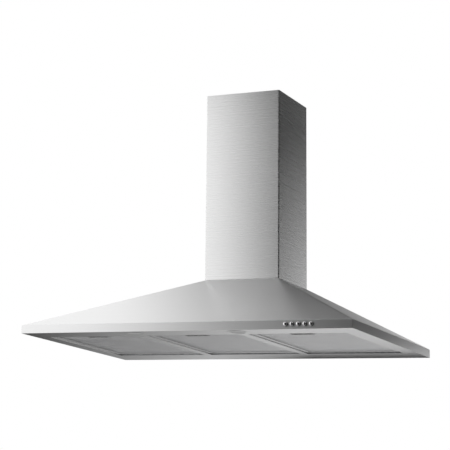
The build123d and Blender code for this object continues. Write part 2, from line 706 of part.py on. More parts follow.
def motor_bracket():
    """A disc behind the motor and three arms to the scroll's left face."""
    near = -MOTOR_FAR_X
    far = near - MOTOR_ARM_SHEET
    wall = -SCROLL_HALF_WIDTH
    disc = rod_x(MOTOR_R - MOTOR_EDGE, far, near, BLOWER_Y, BLOWER_Z)
    foot_in = INLET_R + SCROLL_WALL + SEAT_GAP
    foot_out = foot_in + MOTOR_ARM_FOOT
    half = MOTOR_ARM_WIDTH / 2
    arm = block(far, near, 0, foot_in + MOTOR_ARM_SHEET, -half, half)
    lip = wall - INLET_LIP - SEAT_GAP
    arm = Pos(min(0, lip - near), 0, 0) * arm
    x0 = min(far, lip - MOTOR_ARM_SHEET)
    disc += rod_x(half, x0, near, BLOWER_Y, BLOWER_Z)
    arm += block(x0, wall, foot_in, foot_in + MOTOR_ARM_SHEET, -half, half)
    arm += block(wall - MOTOR_ARM_SHEET, wall, foot_in, foot_out, -half, half)
    for i in range(MOTOR_ARMS):
        disc += Pos(0, BLOWER_Y, BLOWER_Z) * Rot(MOTOR_ARM_START + 360 * i / MOTOR_ARMS, 0, 0) * arm
    return disc


def motor_bracket_screws():
    """Screw heads on the bracket's feet."""
    wall = -SCROLL_HALF_WIDTH - MOTOR_ARM_SHEET
    radius = INLET_R + SCROLL_WALL + SEAT_GAP + (MOTOR_ARM_FOOT + MOTOR_ARM_SHEET) / 2
    heads = []
    for i in range(MOTOR_ARMS):
        angle = radians(MOTOR_ARM_START + 360 * i / MOTOR_ARMS)
        y = BLOWER_Y + radius * cos(angle)
        z = BLOWER_Z + radius * sin(angle)
        heads.append(rod_x(SCREW_HEAD_R, wall - SCREW_HEAD_HEIGHT, wall, y, z))
    return Compound(heads)


def blower_bracket(side):
    """An angle from the back plate to one face of the scroll."""
    z0 = BLOWER_Z - BLOWER_BRACKET_HEIGHT / 2 - BLOWER_BRACKET_DROP
    z1 = z0 + BLOWER_BRACKET_HEIGHT
    near = SCROLL_HALF_WIDTH
    x0, x1 = sorted((side * near, side * (near + BRACKET_SHEET)))
    angle = block(x0, x1, -SHEET - BLOWER_BRACKET_REACH, -SHEET, z0, z1)
    x0, x1 = sorted((side * near, side * (near + BLOWER_BRACKET_FOOT)))
    angle += block(x0, x1, -SHEET - BRACKET_SHEET, -SHEET, z0, z1)
    mouth = INLET_R + SCROLL_WALL + SEAT_GAP
    return angle - rod_x(mouth, -2 * near, 2 * near, BLOWER_Y, BLOWER_Z)


# Outlet


def outlet_collar():
    """The round spigot on the scroll's neck, with the ledge its flaps close on."""
    half_x = max(COLLAR_R + COLLAR_FLANGE, SCROLL_HALF_WIDTH)
    half_y = max(COLLAR_R + COLLAR_FLANGE, NECK_HALF_DEPTH)
    plate = centred_block(half_x, 0, BLOWER_Y - half_y, BLOWER_Y + half_y, NECK_TOP_Z, COLLAR_BASE)
    plate += rod_z(COLLAR_R, NECK_TOP_Z, COLLAR_BASE + COLLAR_LENGTH, 0, BLOWER_Y)
    inner = COLLAR_R - COLLAR_WALL
    ledge_top = FLAP_Z - FLAP_THICKNESS
    plate -= rod_z(inner - FLAP_LEDGE, 0, 2 * HOOD_TOP, 0, BLOWER_Y)
    plate -= rod_z(inner, ledge_top, 2 * HOOD_TOP, 0, BLOWER_Y)
    plate -= rod_z(inner, NECK_TOP_Z - SHEET, ledge_top - 2 * COLLAR_WALL, 0, BLOWER_Y)
    return plate - rod_x(FLAP_ROD_R + SHAFT_PRESS_GAP, -2 * COLLAR_R, 2 * COLLAR_R, BLOWER_Y, FLAP_Z)


def damper_rod():
    """The thin rod across the collar that both flaps hang on."""
    return rod_x(FLAP_ROD_R, -COLLAR_R + SHAFT_PRESS_GAP, COLLAR_R - SHAFT_PRESS_GAP, BLOWER_Y, FLAP_Z)


def damper_flap(side):
    """One half disc with two knuckles on the rod; side is -1 at the front, 1 at the back."""
    low = FLAP_Z - FLAP_THICKNESS / 2
    high = FLAP_Z + FLAP_THICKNESS / 2
    start = FLAP_KNUCKLE_R + FLAP_RUNNING_GAP + SLIDE_GAP
    disc = rod_z(FLAP_R, low, high, 0, BLOWER_Y)
    y0, y1 = sorted((BLOWER_Y + side * start, BLOWER_Y + side * COLLAR_R))
    flap = disc & block(-COLLAR_R, COLLAR_R, y0, y1, low, high)
    for place in FLAP_KNUCKLE_STARTS:
        x0, x1 = sorted((-side * place, -side * (place + FLAP_KNUCKLE_LENGTH)))
        y0, y1 = sorted((BLOWER_Y, BLOWER_Y + side * (start + SLIDE_GAP)))
        flap += block(x0, x1, y0, y1, low, high)
        flap += rod_x(FLAP_KNUCKLE_R, x0, x1, BLOWER_Y, FLAP_Z)
    return flap - rod_x(FLAP_ROD_R + FLAP_RUNNING_GAP, -COLLAR_R, COLLAR_R, BLOWER_Y, FLAP_Z)


# Electrics


def box_part(inset, front, back):
    """A block within the box's outline, set in from it on all four sides."""
    x1 = BOX_X + BOX_WIDTH - inset
    return block(BOX_X + inset, x1, front, back, BOX_Z + inset, BOX_Z + BOX_HEIGHT - inset)


def control_box():
    """The open plastic box on the back plate."""
    back = -SHEET
    front = back - BOX_DEPTH
    box = box_part(0, front, back)
    box -= box_part(BOX_WALL, front - BOX_WALL, back - BOX_WALL)
    x, y = gland_place()
    return box - rod_z(GLAND_NECK_R + MESH_GAP, BOX_Z + BOX_HEIGHT / 2, BOX_Z + 2 * BOX_HEIGHT, x, y)


def control_box_lid():
    """The lid on the box's front."""
    front = -SHEET - BOX_DEPTH
    return box_part(0, front - BOX_WALL, front) + box_part(BOX_WALL + SEAT_GAP, front, front + BOX_WALL)


def terminal_block():
    """The terminal strip on the box's floor side, with its wire holes."""
    back = -SHEET - BOX_WALL
    x0 = BOX_X + BOX_WIDTH - BOX_WALL - TERMINAL_WIDTH - 2 * BOX_WALL
    z0 = BOX_Z + 4 * BOX_WALL
    strip = block(x0, x0 + TERMINAL_WIDTH, back - TERMINAL_DEPTH, back, z0, z0 + TERMINAL_HEIGHT)
    pitch = TERMINAL_WIDTH / TERMINAL_WAYS
    hole_z = z0 + TERMINAL_HEIGHT / 2
    for i in range(TERMINAL_WAYS):
        x = x0 + (i + 0.5) * pitch
        strip -= rod_y(SCREW_R, back - 2 * TERMINAL_DEPTH, back - TERMINAL_DEPTH / 2, x, hole_z)
    return strip


def motor_capacitor():
    """The round capacitor that lies against the box's back."""
    x0 = BOX_X + 2 * BOX_WALL
    y = -SHEET - BOX_WALL - CAPACITOR_R
    z = BOX_Z + BOX_WALL + CAPACITOR_R
    can = rod_x(CAPACITOR_R, x0, x0 + CAPACITOR_LENGTH, y, z)
    return chamfer(can.edges().filter_by(GeomType.CIRCLE), BOX_WALL / 2)


def gland_place():
    """X and Y of the mains cable's gland in the box's top."""
    return BOX_X + BOX_WIDTH - GLAND_FROM_SIDE, -SHEET - BOX_DEPTH / 2


def cable_gland():
    """A hexagon gland with a free bore, in the top of the control box."""
    x, y = gland_place()
    top = BOX_Z + BOX_HEIGHT
    body = extrude(Pos(x, y, top) * RegularPolygon(GLAND_R, 6), GLAND_LENGTH)
    body += rod_z(GLAND_NECK_R, top - 2 * BOX_WALL, top, x, y)
    return body - rod_z(GLAND_BORE_R, 0, 2 * top, x, y)


def lamp_places():
    """Name and X of each lamp."""
    return (("left", -LAMP_X), ("right", LAMP_X))


save(canopy_front(), "canopy_front")
save(canopy_side(-1), "canopy_left")
save(canopy_side(1), "canopy_right")
save(chimney_seat(), "chimney_seat")
save(back_plate(), "back_plate")
save(lower_chimney(), "lower_chimney")
save(upper_chimney(), "upper_chimney")
save(chimney_bracket(), "chimney_bracket")
save(chimney_bracket_rivets(), "chimney_bracket_rivets")
save(underside_panel(), "underside_panel")
save(panel_flanges(), "panel_flanges")
save(filter_hook_rail(), "filter_hook_rail")
for name, centre in zip(NAMES, filter_centres()):
    save(filter_frame(centre), f"filter_frame_{name}")
    save(filter_mesh(centre), f"filter_mesh_{name}")
    save(filter_latch(centre), f"filter_latch_{name}")
    save(latch_spring(centre), f"latch_spring_{name}")
save(switch_block(), "switch_block")
for number, place in enumerate(button_places(), start=1):
    save(button(place), f"button_{number}")
    save(button_spring(place), f"button_spring_{number}")
for name, place in lamp_places():
    save(lamp_bezel(place), f"lamp_bezel_{name}")
    save(lamp_lens(place), f"lamp_lens_{name}")
    save(lamp_body(place), f"lamp_body_{name}")
for name, side in (("left", -1), ("right", 1)):
    save(blower_half(side), f"blower_housing_{name}")
    save(blower_bracket(side), f"blower_bracket_{name}")
save(impeller_discs(), "impeller_discs")
save(impeller_blades(), "impeller_blades")
save(motor_shaft(), "motor_shaft")
save(motor(), "motor")
save(motor_bracket(), "motor_bracket")
save(motor_bracket_screws(), "motor_bracket_screws")
save(outlet_collar(), "outlet_collar")
save(damper_rod(), "damper_rod")
save(damper_flap(-1), "damper_flap_front")
save(damper_flap(1), "damper_flap_back")
save(control_box(), "control_box")
save(control_box_lid(), "control_box_lid")
save(terminal_block(), "terminal_block")
save(motor_capacitor(), "motor_capacitor")
save(cable_gland(), "cable_gland")
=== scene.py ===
import json
import math

import bmesh
import bpy
from mathutils import Matrix, Vector, noise


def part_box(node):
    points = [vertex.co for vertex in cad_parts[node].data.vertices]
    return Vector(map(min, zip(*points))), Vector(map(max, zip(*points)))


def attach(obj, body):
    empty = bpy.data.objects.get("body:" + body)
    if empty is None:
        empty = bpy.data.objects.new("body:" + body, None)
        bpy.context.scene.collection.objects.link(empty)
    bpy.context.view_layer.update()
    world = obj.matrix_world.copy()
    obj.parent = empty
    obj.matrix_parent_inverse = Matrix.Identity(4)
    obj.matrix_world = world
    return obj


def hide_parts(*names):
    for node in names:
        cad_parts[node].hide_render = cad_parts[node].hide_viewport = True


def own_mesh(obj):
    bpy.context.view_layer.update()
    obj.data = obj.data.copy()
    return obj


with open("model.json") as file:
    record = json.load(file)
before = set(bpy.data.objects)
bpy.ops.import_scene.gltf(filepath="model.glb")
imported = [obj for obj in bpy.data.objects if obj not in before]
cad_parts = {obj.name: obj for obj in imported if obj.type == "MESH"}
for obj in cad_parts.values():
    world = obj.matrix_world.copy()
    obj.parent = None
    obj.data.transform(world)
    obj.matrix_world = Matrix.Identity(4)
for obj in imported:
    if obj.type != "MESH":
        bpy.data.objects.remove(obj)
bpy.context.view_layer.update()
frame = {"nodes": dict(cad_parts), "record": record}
NODES = frame["nodes"]
SCENE = bpy.context.scene
MM = 0.001
SIDES = ("left", "middle", "right")
BUTTON_NUMBERS = range(1, 6)

# ---------------------------------------------------------------- camera
# The photograph's picture plane is skewed: its uprights stay upright while its level lines
# slope. The camera's right axis leans by the same share of its up axis.
CAMERA_PLACE = Vector((1.7910, -3.8160, -0.5099))
CAMERA_YAW = math.radians(26.8444)
CAMERA_PITCH = math.radians(11.6779)
CAMERA_ROLL = math.radians(0.4928)
CAMERA_SKEW = 0.0442
FOCAL_PIXELS = 1574.27
PICTURE_PIXELS = 450
SENSOR_WIDTH = 36.0


def make_camera():
    forward = Vector((-math.sin(CAMERA_YAW) * math.cos(CAMERA_PITCH),
                      math.cos(CAMERA_YAW) * math.cos(CAMERA_PITCH), math.sin(CAMERA_PITCH)))
    level = Vector((math.cos(CAMERA_YAW), math.sin(CAMERA_YAW), 0))
    upright = level.cross(forward)
    right = math.cos(CAMERA_ROLL) * level + math.sin(CAMERA_ROLL) * upright
    up = math.cos(CAMERA_ROLL) * upright - math.sin(CAMERA_ROLL) * level
    rig = bpy.data.objects.new("camera_rig", None)
    SCENE.collection.objects.link(rig)
    data = bpy.data.cameras.new("camera")
    data.sensor_width = SENSOR_WIDTH
    data.lens = data.sensor_width * FOCAL_PIXELS / PICTURE_PIXELS
    camera = bpy.data.objects.new("camera", data)
    SCENE.collection.objects.link(camera)
    camera.parent = rig
    camera.matrix_parent_inverse = Matrix.Translation(CAMERA_PLACE) @ Matrix(
        (right + CAMERA_SKEW * up, up, -forward)).transposed().to_4x4()
    SCENE.camera = camera


# ---------------------------------------------------------------- node helper
MIX_COLOURS = (6, 7)  # the colour inputs of a mix node
MIX_RESULT = 2


class Graph:
    """A short way to write a shader's nodes."""

    def __init__(self, tree):
        self.tree = tree
        tree.nodes.clear()

    def feed(self, socket, value):
        """Link a node's output to the socket, or set a constant on it."""
        if isinstance(value, bpy.types.NodeSocket):
            self.tree.links.new(value, socket)
        else:
            socket.default_value = value

    def node(self, kind, **inputs):
        """Add a node. _0, _1 and so on name its inputs by their place."""
        made = self.tree.nodes.new(kind)
        for key, value in inputs.items():
            place = key[1:]
            socket = int(place) if key[0] == "_" and place.isdigit() else key.replace("_", " ")
            self.feed(made.inputs[socket], value)
        return made

    def place(self, scale):
        """Object coordinates in metres, stretched."""
        coords = self.node("ShaderNodeTexCoord").outputs["Object"]
        return self.node("ShaderNodeMapping", _0=coords, _3=scale).outputs[0]

    def noise(self, scale, detail=2.0):
        made = self.node("ShaderNodeTexNoise", Vector=self.place(scale), Scale=1.0, Detail=detail)
        return made.outputs["Fac"]

    def spread(self, value, low, high, start=0.3, end=0.7):
        """value, start to end, taken to low to high."""
        made = self.node("ShaderNodeMapRange", _0=value, _1=start, _2=end, _3=low, _4=high)
        return made.outputs[0]

    def combine(self, operation, a, b):
        made = self.node("ShaderNodeMath", _0=a, _1=b)
        made.operation = operation
        return made.outputs[0]

    def add(self, a, b):
        return self.combine("ADD", a, b)

    def times(self, a, b):
        return self.combine("MULTIPLY", a, b)

    def highest(self, a, b):
        return self.combine("MAXIMUM", a, b)

    def blend(self, share, a, b):
        made = self.node("ShaderNodeMix", _0=share)
        made.data_type = "RGBA"
        for number, value in zip(MIX_COLOURS, (a, b)):
            self.feed(made.inputs[number], value)
        return made.outputs[MIX_RESULT]

    def mix(self, share, a, b):
        made = self.node("ShaderNodeMixShader", _0=share, _1=a.outputs[0], _2=b.outputs[0])
        return made.outputs[0]

    def bump(self, height, strength, distance):
        made = self.node("ShaderNodeBump", Height=height, Strength=strength, Distance=distance)
        return made.outputs[0]

    def surface(self, **inputs):
        shader = self.node("ShaderNodeBsdfPrincipled", **inputs)
        self.node("ShaderNodeOutputMaterial", Surface=shader.outputs[0])


# ---------------------------------------------------------------- materials
def grey(value, warm=0.0):
    return (value * (1 + warm), value, value * (1 - warm), 1)


def material(name):
    made = bpy.data.materials.new(name)
    made.use_nodes = True
    return made, Graph(made.node_tree)


FINE_SHARE, COARSE_SHARE = 0.93, 0.07
COARSE_SCALE = 0.3
SHEET_CLOUD = (7, 7, 7)
STREAK_ROUGHNESS, CLOUD_ROUGHNESS = 0.02, 0.005
SCRATCH_STRENGTH, SCRATCH_DEPTH = 0.003, 0.0001


def brushed(name, shade, roughness, grain, contrast=0.02):
    """Brushed sheet. grain is the stretch of the scratches along x, y and z."""
    made, g = material(name)
    fine = g.noise(grain, 1.0)
    coarse = g.noise(tuple(v * COARSE_SCALE for v in grain), 1.0)
    cloud = g.noise(SHEET_CLOUD, 3.0)
    streak = g.add(g.times(fine, FINE_SHARE), g.times(coarse, COARSE_SHARE))
    low, high = grey(shade * (1 - contrast)), grey(shade * (1 + contrast))
    colour = g.blend(g.spread(streak, 0, 1), low, high)
    rough = g.add(g.spread(streak, roughness - STREAK_ROUGHNESS, roughness + STREAK_ROUGHNESS),
                  g.spread(cloud, -CLOUD_ROUGHNESS, CLOUD_ROUGHNESS))
    g.surface(Base_Color=colour, Metallic=1.0, Roughness=rough,
              Normal=g.bump(fine, SCRATCH_STRENGTH, SCRATCH_DEPTH))
    return made


CAST_CLOUD = (16, 16, 16)
CAST_CLOUD_SHARE, CAST_FINE_SHARE = 0.7, 0.3
CAST_ROUGHNESS = 0.05
CAST_BUMP = 0.15


def cast(name, colour, roughness, metallic=0.0, grain=900.0, depth=0.0002, spread=0.08):
    """A moulded, painted or dull surface with fine texture."""
    made, g = material(name)
    fine = g.noise((grain, grain, grain), 2.0)
    cloud = g.noise(CAST_CLOUD, 3.0)
    low = tuple(c * (1 - spread) for c in colour) + (1,)
    high = tuple(min(1, c * (1 + spread)) for c in colour) + (1,)
    mottle = g.add(g.times(cloud, CAST_CLOUD_SHARE), g.times(fine, CAST_FINE_SHARE))
    tint = g.blend(g.spread(mottle, 0, 1), low, high)
    rough = g.spread(cloud, roughness - CAST_ROUGHNESS, roughness + CAST_ROUGHNESS)
    g.surface(Base_Color=tint, Metallic=metallic, Roughness=rough,
              Normal=g.bump(fine, CAST_BUMP, depth))
    return made


SPANGLE_SCALE = (110, 110, 110)
SPANGLE_DARK, SPANGLE_BRIGHT = grey(0.42, -0.02), grey(0.62, -0.01)
SPANGLE_SMOOTH, SPANGLE_ROUGH = 0.36, 0.52
ZINC_GRAIN = (300, 300, 300)
ZINC_BUMP, ZINC_DEPTH = 0.05, 0.0002


def galvanised(name):
    """Zinc spangle: flat crystals of slightly different brightness."""
    made, g = material(name)
    cells = g.node("ShaderNodeTexVoronoi", Vector=g.place(SPANGLE_SCALE), Scale=1.0)
    value = g.node("ShaderNodeSeparateColor", _0=cells.outputs["Color"]).outputs[0]
    colour = g.blend(value, SPANGLE_DARK, SPANGLE_BRIGHT)
    rough = g.spread(value, SPANGLE_SMOOTH, SPANGLE_ROUGH, 0, 1)
    g.surface(Base_Color=colour, Metallic=1.0, Roughness=rough,
              Normal=g.bump(g.noise(ZINC_GRAIN), ZINC_BUMP, ZINC_DEPTH))
    return made


BRUSHED_LEVEL = (3, 3, 2200)
BRUSHED_ALONG_X = (3, 2200, 3)
BRUSHED_FRAME = (30, 900, 30)

STEEL_UPRIGHT = brushed("steel_upright", 0.76, 0.27, BRUSHED_LEVEL)
STEEL_CANOPY = brushed("steel_canopy", 0.75, 0.33, BRUSHED_LEVEL)
# A darker copy of the brushed steel for the level sheets underneath and the lamp rings: painted
# shade.
STEEL_LEVEL_SHADED = brushed("steel_level_painted_shade", 0.62, 0.30, BRUSHED_ALONG_X)
ALUMINIUM = brushed("aluminium_frame", 0.72, 0.36, BRUSHED_FRAME, 0.06)
MESH_METAL = cast("aluminium_mesh", (0.95, 0.95, 0.955), 0.40, 1.0, 700.0, spread=0.03)
CHROME = cast("chrome", (0.86, 0.86, 0.86), 0.07, 1.0, 300.0, 0.00002, 0.02)
FOIL = cast("crumpled_foil", (0.95, 0.95, 0.955), 0.38, 1.0, 300.0, 0.0003, 0.05)
GALVANISED = galvanised("galvanised")
ZINC = cast("zinc", (0.62, 0.62, 0.6), 0.35, 1.0, 500.0)
SPRING = cast("spring_steel", (0.5, 0.5, 0.5), 0.3, 1.0, 700.0)
MOTOR_PAINT = cast("motor_paint", (0.045, 0.045, 0.048), 0.45, 0.0, 500.0, 0.0004)
BLACK = cast("black_plastic", (0.02, 0.02, 0.02), 0.45, 0.0, 1200.0)
GREY_PLASTIC = cast("grey_plastic", (0.30, 0.30, 0.305), 0.46, 0.0, 900.0, 0.0003, 0.12)
WHITE_PLASTIC = cast("white_plastic", (0.78, 0.78, 0.76), 0.45, 0.0, 1200.0, spread=0.03)
LENS = cast("frosted_lens", (0.82, 0.82, 0.82), 0.4, 0.0, 600.0, 0.0003, 0.03)

BY_SLOT = {
    "brushed_steel": STEEL_UPRIGHT, "galvanised_steel": GALVANISED, "zinc_fasteners": ZINC,
    "spring_steel": SPRING, "chrome": CHROME, "bare_aluminium": ALUMINIUM,
    "aluminium_mesh": MESH_METAL, "motor_paint": MOTOR_PAINT, "black_plastic": BLACK,
    "grey_plastic": GREY_PLASTIC, "white_plastic": WHITE_PLASTIC, "frosted_lens": LENS,
}


def dress_nodes():
    """Give every CAD node the material of its slot. The level sheets are brushed along x, and
    their steel is a darker copy of the brushed steel that paints shade on the underside.
    """
    slots = {row["node"]: row["material_slot"] for row in frame["record"]["subparts"]}
    for name, node in NODES.items():
        level = name in ("underside_panel", "panel_flanges")
        node.data.materials.clear()
        node.data.materials.append(STEEL_LEVEL_SHADED if level else BY_SLOT[slots[name]])


# ---------------------------------------------------------------- mesh helpers
SHEET = 1.0
FOLD_SEGMENTS = 4
EDGE_R, EDGE_SEGMENTS, EDGE_ANGLE = 0.25, 2, math.radians(50)
SEAM = 0.001


def link(name, mesh, chosen):
    mesh.materials.clear()
    mesh.materials.append(chosen)
    obj = bpy.data.objects.new(name, mesh)
    SCENE.collection.objects.link(obj)
    return obj


def modify(obj, kind, **settings):
    made = obj.modifiers.new(kind.lower(), kind)
    for key, value in settings.items():
        setattr(made, key, value)


def apply_modifiers(obj):
    graph = bpy.context.evaluated_depsgraph_get()
    mesh = bpy.data.meshes.new_from_object(obj.evaluated_get(graph))
    obj.modifiers.clear()
    obj.data = mesh
    return mesh


def settle(obj, sharp=35):
    """Apply the modifiers and shade large faces flat and small radii smooth."""
    mesh = apply_modifiers(obj)
    mesh.shade_smooth()
    mesh.set_sharp_from_angle(angle=math.radians(sharp))
    modify(obj, "WEIGHTED_NORMAL", keep_sharp=True, weight=100)
    apply_modifiers(obj)
    return obj


def stand_in(obj, body, slot, *nodes):
    """obj takes the place of the CAD nodes."""
    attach(obj, body)
    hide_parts(*nodes)


def folded_sheet(name, rows, chosen, across, along):
    """Sheet metal through rows of points, each given from its left end to its right end.
    across gives the radius of the folds that run from row to row, one for each gap between
    rows, and along that of the folds in the rows."""
    width = len(rows[0])
    points = [Vector(point) * MM for row in rows for point in row]
    faces = [(r * width + i, r * width + i + 1, (r + 1) * width + i + 1, (r + 1) * width + i)
             for r in range(len(rows) - 1) for i in range(width - 1)]
    mesh = bpy.data.meshes.new(name)
    mesh.from_pydata(points, [], faces)
    widest = max(*across, along)
    weights = mesh.attributes.new("bevel_weight_edge", "FLOAT", "EDGE")
    for number, line in enumerate(mesh.edges):
        a, b = line.vertices
        in_row = a // width == b // width
        inner = 0 < a // width < len(rows) - 1 if in_row else 0 < a % width < width - 1
        if inner:
            radius = along if in_row else across[min(a, b) // width]
            weights.data[number].value = radius / widest
    obj = link(name, mesh, chosen)
    modify(obj, "BEVEL", width=widest * MM, segments=FOLD_SEGMENTS, limit_method="WEIGHT")
    modify(obj, "SOLIDIFY", thickness=SHEET * MM, offset=-1, use_even_offset=True)
    modify(obj, "BEVEL", width=EDGE_R * MM, segments=EDGE_SEGMENTS, limit_method="ANGLE",
           angle_limit=EDGE_ANGLE)
    modify(obj, "WELD", merge_threshold=SEAM * MM)
    return obj


def lathe(name, profile, centre, axis, chosen, steps=48):
    """A turned piece. profile lists (radius, place along the axis) in millimetres."""
    made = bmesh.new()
    rings = []
    for radius, along in profile:
        if radius == 0:
            rings.append([made.verts.new((0, 0, along * MM))])
            continue
        angles = [math.tau * i / steps for i in range(steps)]
        rings.append([made.verts.new((radius * MM * math.cos(a), radius * MM * math.sin(a),
                                      along * MM)) for a in angles])
    for low, high in zip(rings, rings[1:]):
        for i in range(steps):
            j = (i + 1) % steps
            corners = [low[i % len(low)], low[j % len(low)],
                       high[j % len(high)], high[i % len(high)]]
            unique = [v for k, v in enumerate(corners) if v not in corners[:k]]
            made.faces.new(unique)
    bmesh.ops.recalc_face_normals(made, faces=made.faces)
    if axis == "Y":
        turn = Matrix.Rotation(math.radians(-90), 3, "X")
        bmesh.ops.rotate(made, verts=made.verts, matrix=turn)
    bmesh.ops.translate(made, verts=made.verts, vec=Vector(centre) * MM)
    mesh = bpy.data.meshes.new(name)
    made.to_mesh(mesh)
    made.free()
    return link(name, mesh, chosen)


# ---------------------------------------------------------------- canopy and chimney
# Sizes in millimetres, as in the CAD model.
RIM_HALF, HOOD_DEPTH, RIM_HEIGHT, CANOPY_TOP = 450.0, 520.0, 21.0, 186.0
CHIMNEY_HALF, CHIMNEY_DEPTH, CHIMNEY_FLANGE = 107.5, 180.0, 16.0
RIM_CORNER_R, HIP_R, RIM_FOLD_R, CHIMNEY_CORNER_R = 0.8, 4.0, 0.4, 2.4
BUTTON_HOLE_R, HOLE_CUT, HOLE_SIDES = 5.2, 8, 40


def open_outline(half, front, z):
    """The left, front and right sides at one height, open at the wall."""
    return [(-half, 0, z), (-half, -front, z), (half, -front, z), (half, 0, z)]


def button_holes():
    """The cutter for the holes of the buttons."""
    cutter = bmesh.new()
    for number in BUTTON_NUMBERS:
        low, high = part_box(f"button_{number}")
        middle = (low + high) / 2
        turn = Matrix.Translation((middle.x, -HOOD_DEPTH * MM, middle.z)) @ Matrix.Rotation(
            math.radians(90), 4, "X")
        bmesh.ops.create_cone(cutter, cap_ends=True, segments=HOLE_SIDES,
                              radius1=BUTTON_HOLE_R * MM, radius2=BUTTON_HOLE_R * MM,
                              depth=HOLE_CUT * MM, matrix=turn)
    mesh = bpy.data.meshes.new("cutter")
    cutter.to_mesh(mesh)
    cutter.free()
    holes = bpy.data.objects.new("cutter", mesh)
    SCENE.collection.objects.link(holes)
    return holes


def make_canopy():
    rows = [open_outline(RIM_HALF, HOOD_DEPTH, 0), open_outline(RIM_HALF, HOOD_DEPTH, RIM_HEIGHT),
            open_outline(CHIMNEY_HALF, CHIMNEY_DEPTH, CANOPY_TOP)]
    canopy = folded_sheet("canopy_sheet", rows, STEEL_CANOPY, (RIM_CORNER_R, HIP_R), RIM_FOLD_R)
    holes = button_holes()
    modify(canopy, "BOOLEAN", object=holes, operation="DIFFERENCE", solver="EXACT")
    settle(canopy)
    bpy.data.objects.remove(holes)
    stand_in(canopy, "hood", "brushed_steel", "canopy_front", "canopy_left", "canopy_right")


def channel_rows(node, flange):
    """The outline of a chimney cover at its two ends, from the CAD node's box."""
    low, high = (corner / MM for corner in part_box(node))
    return [[(low.x + flange, high.y, z), (low.x, high.y, z), (low.x, low.y, z),
             (high.x, low.y, z), (high.x, high.y, z), (high.x - flange, high.y, z)]
            for z in (low.z, high.z)]


def make_chimneys():
    for node, body in (("lower_chimney", "hood"), ("upper_chimney", "upper_chimney")):
        rows = channel_rows(node, CHIMNEY_FLANGE)
        cover = folded_sheet(node + "_cover", rows, STEEL_UPRIGHT, (CHIMNEY_CORNER_R,), 0.0)
        stand_in(settle(cover), body, "brushed_steel", node)


# ---------------------------------------------------------------- buttons and lamps
# A button's outline from its front: a chrome crown and edge, a black body, and a stem.
BUTTON_R, BUTTON_DOME, CROWN_STEPS = 4.9, 2.3, 10
BUTTON_CROWN = [(BUTTON_R * math.sin(a), BUTTON_DOME * (1 - math.cos(a))) for a in
                (math.radians(90) * i / CROWN_STEPS for i in range(CROWN_STEPS + 1))]
BUTTON_BODY = [(BUTTON_R, BUTTON_DOME + 0.25), (BUTTON_R - 0.15, BUTTON_DOME + 0.35),
               (BUTTON_R - 0.15, 9.6), (BUTTON_R - 0.4, 10.0)]
BUTTON_STEM = [(2.2, 10.0), (2.2, 23.7), (1.9, 24.0), (0, 24.0)]
CHROME_DEPTH = BUTTON_DOME + 0.1

LAMP_STEPS = 96
LAMP_RING = [(19.0, 2.6), (19.0, -0.35), (19.35, -0.72), (20.0, -0.8), (24.6, -0.8), (25.6, -0.6),
             (26.0, -0.25), (26.0, 0.0), (22.8, 0.0), (22.8, 3.0), (19.4, 3.0), (19.0, 2.6)]
# The lens has ring-shaped ribs on its face.
RIB_COUNT, RIB_PITCH, RIB_TOP, RIB_FOOT = 12, 1.5, 0.05, 0.25
LENS_EDGE = [(18.8, 0.1), (18.8, 2.0), (0, 2.0)]


def make_buttons():
    for number in BUTTON_NUMBERS:
        low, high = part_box(f"button_{number}")
        centre = ((low.x + high.x) / 2 / MM, low.y / MM, (low.z + high.z) / 2 / MM)
        cap = lathe(f"button_cap_{number}", BUTTON_CROWN + BUTTON_BODY + BUTTON_STEM, centre, "Y",
                    CHROME)
        cap.data.materials.append(BLACK)
        for face in cap.data.polygons:
            if face.center.y > low.y + CHROME_DEPTH * MM:
                face.material_index = 1
        stand_in(settle(cap, sharp=50), f"button_{number}", "chrome", f"button_{number}")


def make_lamps():
    ribs = [(0, RIB_FOOT)]
    for i in range(1, RIB_COUNT + 1):
        ribs += [(i * RIB_PITCH - RIB_PITCH / 2, RIB_TOP), (i * RIB_PITCH, RIB_FOOT)]
    for side in ("left", "right"):
        low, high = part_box(f"lamp_bezel_{side}")
        centre = ((low.x + high.x) / 2 / MM, (low.y + high.y) / 2 / MM, 0)
        # The lamp rings take the darker copy of the steel, which paints shade on them.
        bezel = lathe(f"lamp_ring_{side}", LAMP_RING, centre, "Z", STEEL_LEVEL_SHADED, LAMP_STEPS)
        stand_in(settle(bezel), "hood", "brushed_steel", f"lamp_bezel_{side}")
        lens = lathe(f"lamp_diffuser_{side}", ribs + LENS_EDGE, centre, "Z", LENS, LAMP_STEPS)
        stand_in(settle(lens, sharp=60), "hood", "frosted_lens", f"lamp_lens_{side}")


# ---------------------------------------------------------------- filters
# Each filter holds two layers of expanded metal with crumpled foil between them.
CELL_WIDE, CELL_TALL = 12 * MM, 6 * MM
STRAND = 0.8 * MM
STRAND_TILT = 0.1 * MM
MESH_SHEET = 0.18 * MM
LAYER_INSET = 0.25 * MM
WELD = 0.01 * MM
PAD_HEIGHT = 2.0 * MM
PAD_PITCH = 4.0 * MM
PAD_CREASE = 0.9 * MM
PAD_FOLDS, PAD_CRINKLES, CRINKLE_SHARE, CRINKLE_SEED = 190, 430, 0.5, 7
NOTCH_HALF, NOTCH_DEPTH = 31.1 * MM, 34.4 * MM


def cut(mesh, place, normal, clear_outer):
    bmesh.ops.bisect_plane(mesh, geom=mesh.verts[:] + mesh.edges[:] + mesh.faces[:],
                           plane_co=place, plane_no=normal, dist=WELD, clear_outer=clear_outer)


